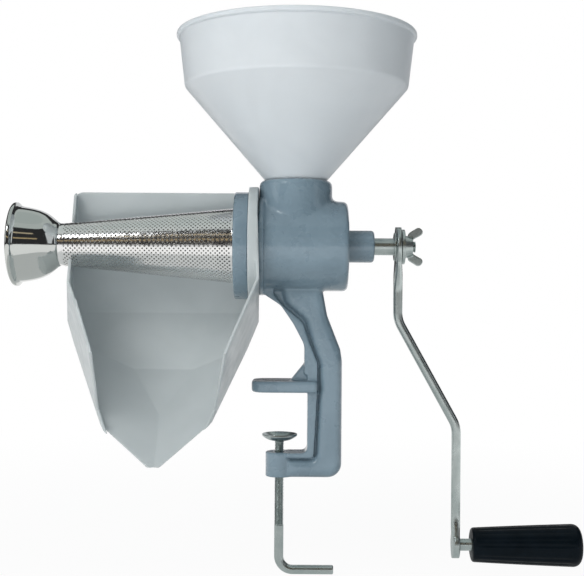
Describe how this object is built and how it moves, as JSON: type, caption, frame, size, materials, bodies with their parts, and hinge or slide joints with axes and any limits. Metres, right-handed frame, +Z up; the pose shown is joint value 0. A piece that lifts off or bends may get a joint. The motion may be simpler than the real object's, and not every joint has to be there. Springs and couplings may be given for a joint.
{
  "type": "hand cranked tomato strainer",
  "caption": "Table clamped tomato strainer with a hopper, screw in a tapered sieve, side chute, waste bell and bent crank.",
  "frame": {"origin": "on the underside of the upper jaw, where the table top rests, on the axis of the clamp screw", "axes": "+Z up along the clamp screw, +X along the shaft towards the crank, +Y away from the pouring side"},
  "size_m": [0.4937, 0.208, 0.4689],
  "materials": {
    "casting_enamel": "smooth gloss enamel",
    "hopper_plastic": "translucent natural polyethylene",
    "chute_plastic": "translucent natural polyethylene",
    "stainless": "bright rolled stainless sheet",
    "polished_steel": "mirror polished",
    "zinc_steel": "bright zinc plate",
    "auger_plastic": "moulded",
    "bush_brass": "machined",
    "seal_rubber": "moulded",
    "grip_plastic": "moulded, satin gloss"
  },
  "bodies": {
    "casting": {"body_casting": "casting_enamel", "rear_bush": "bush_brass", "shaft_seal": "seal_rubber", "sieve_cone": "stainless", "bell_outlet": "polished_steel"},
    "hopper": {"hopper": "hopper_plastic"},
    "ring": {"lock_ring": "casting_enamel"},
    "chute": {"chute": "chute_plastic"},
    "crank": {"drive_shaft": "zinc_steel", "auger": "auger_plastic", "auger_pin": "stainless", "thrust_washer": "stainless", "shaft_collar": "zinc_steel", "crank_arm": "zinc_steel", "handle_spindle": "zinc_steel", "grip_retainer": "zinc_steel"},
    "grip": {"handle_grip": "grip_plastic", "grip_end_cap": "grip_plastic"},
    "washer": {"crank_washer": "zinc_steel"},
    "nut": {"wing_nut": "zinc_steel"},
    "pad": {"clamp_pad": "zinc_steel"},
    "screw": {"clamp_screw": "zinc_steel", "pad_rivet": "zinc_steel"}
  },
  "joints": [
    {"name": "crank_turn", "type": "hinge", "parent": "casting", "child": "crank", "pos_m": [0.0996, 0, 0.126], "axis": [1, 0, 0], "continuous": true},
    {"name": "grip_spin", "type": "hinge", "parent": "crank", "child": "grip", "pos_m": [0.2, 0, -0.1326], "axis": [1, 0, 0], "continuous": true},
    {"name": "washer_slide", "type": "slide", "parent": "crank", "child": "washer", "axis": [1, 0, 0], "range_m": [0, 0.006]},
    {"name": "nut_turn", "type": "hinge", "parent": "washer", "child": "nut", "pos_m": [0.11, 0, 0.126], "axis": [1, 0, 0], "range_deg": [0, 1440]},
    {"name": "pad_lift", "type": "slide", "parent": "casting", "child": "pad", "axis": [0, 0, 1], "range_m": [-0.008, 0.034]},
    {"name": "screw_turn", "type": "hinge", "parent": "pad", "child": "screw", "pos_m": [0, 0, -0.06], "axis": [0, 0, 1], "range_deg": [-2304, 9792]},
    {"name": "chute_swing", "type": "hinge", "parent": "casting", "child": "chute", "pos_m": [-0.02, 0, 0.126], "axis": [1, 0, 0], "range_deg": [-60, 35]},
    {"name": "ring_turn", "type": "hinge", "parent": "casting", "child": "ring", "pos_m": [-0.034, 0, 0.126], "axis": [1, 0, 0], "range_deg": [0, 40]},
    {"name": "hopper_lift", "type": "slide", "parent": "casting", "child": "hopper", "axis": [0, 0, 1], "range_m": [0, 0.04]}
  ],
  "couplings": [
    {"joint": "washer_slide", "follows": "nut_turn", "m_per_rad": 0.00023873},
    {"joint": "pad_lift", "follows": "screw_turn", "m_per_rad": 0.00019894}
  ]
}
